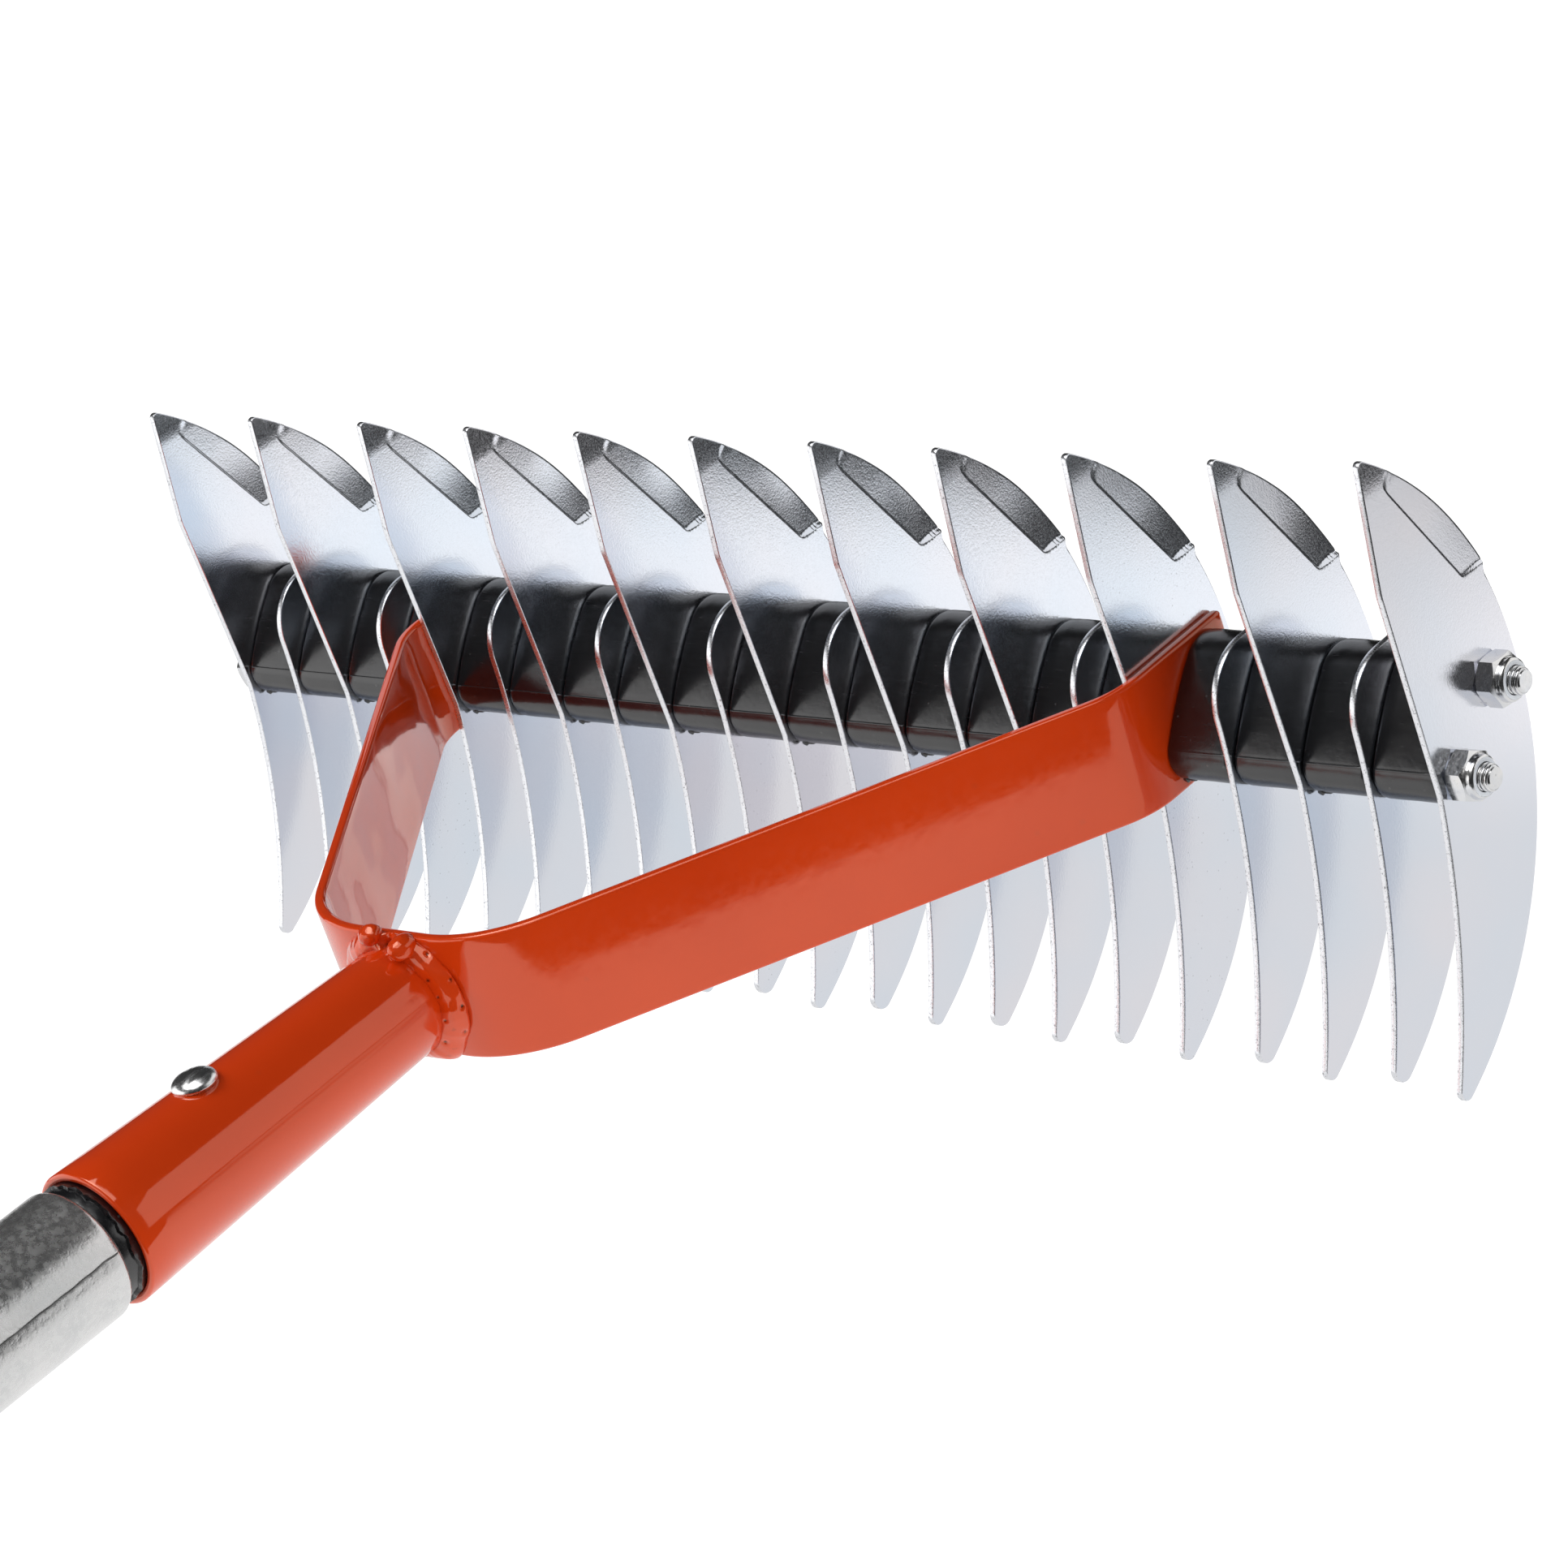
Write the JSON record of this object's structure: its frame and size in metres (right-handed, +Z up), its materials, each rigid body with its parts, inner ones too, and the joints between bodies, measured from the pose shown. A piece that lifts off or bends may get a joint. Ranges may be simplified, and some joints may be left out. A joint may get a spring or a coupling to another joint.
{
  "type": "thatch rake",
  "caption": "Thatch rake with a row of steel blades and plastic spacers on tie bolts, held by a bent flat-bar yoke with a welded conical socket on a tube handle.",
  "frame": {"origin": "on the floor under the middle of the rake's bounding box", "axes": "+Y along the handle towards the blade row, +X along the tie bolts towards the nuts, +Z up, away from the lower teeth"},
  "size_m": [0.3692, 1.5139, 0.1315],
  "materials": {
    "zinc_sheet": "zinc plated sheet with a fine grain",
    "zinc_fasteners": "bright zinc plating",
    "black_plastic": "satin moulded plastic",
    "nylon": "plain nylon",
    "orange_paint": "glossy powder coat",
    "bright_steel": "bright rivet",
    "galvanised_tube": "galvanised, with a rough speckle"
  },
  "bodies": {
    "root": {"blade_1": "zinc_sheet", "blade_2": "zinc_sheet", "blade_3": "zinc_sheet", "blade_4": "zinc_sheet", "blade_5": "zinc_sheet", "blade_6": "zinc_sheet", "blade_7": "zinc_sheet", "blade_8": "zinc_sheet", "blade_9": "zinc_sheet", "blade_10": "zinc_sheet", "blade_11": "zinc_sheet", "half_blade_1": "zinc_sheet", "half_blade_2": "zinc_sheet", "half_blade_3": "zinc_sheet", "half_blade_4": "zinc_sheet", "half_blade_5": "zinc_sheet", "half_blade_6": "zinc_sheet", "half_blade_7": "zinc_sheet", "half_blade_8": "zinc_sheet", "half_blade_9": "zinc_sheet", "half_blade_10": "zinc_sheet", "spacer_1": "black_plastic", "spacer_2": "black_plastic", "spacer_3": "black_plastic", "spacer_4": "black_plastic", "spacer_5": "black_plastic", "spacer_6": "black_plastic", "spacer_7": "black_plastic", "spacer_8": "black_plastic", "spacer_9": "black_plastic", "spacer_10": "black_plastic", "spacer_11": "black_plastic", "spacer_12": "black_plastic", "spacer_13": "black_plastic", "spacer_14": "black_plastic", "spacer_15": "black_plastic", "spacer_16": "black_plastic", "spacer_17": "black_plastic", "spacer_18": "black_plastic", "spacer_19": "black_plastic", "spacer_20": "black_plastic", "tie_bolt_upper": "zinc_fasteners", "tie_bolt_lower": "zinc_fasteners", "lock_nuts": "zinc_fasteners", "nylon_rings": "nylon", "yoke": "orange_paint", "socket": "orange_paint", "weld_bead": "orange_paint", "rivet": "bright_steel", "handle_liner": "black_plastic", "handle_tube": "galvanised_tube", "end_cap": "black_plastic"}
  },
  "joints": []
}
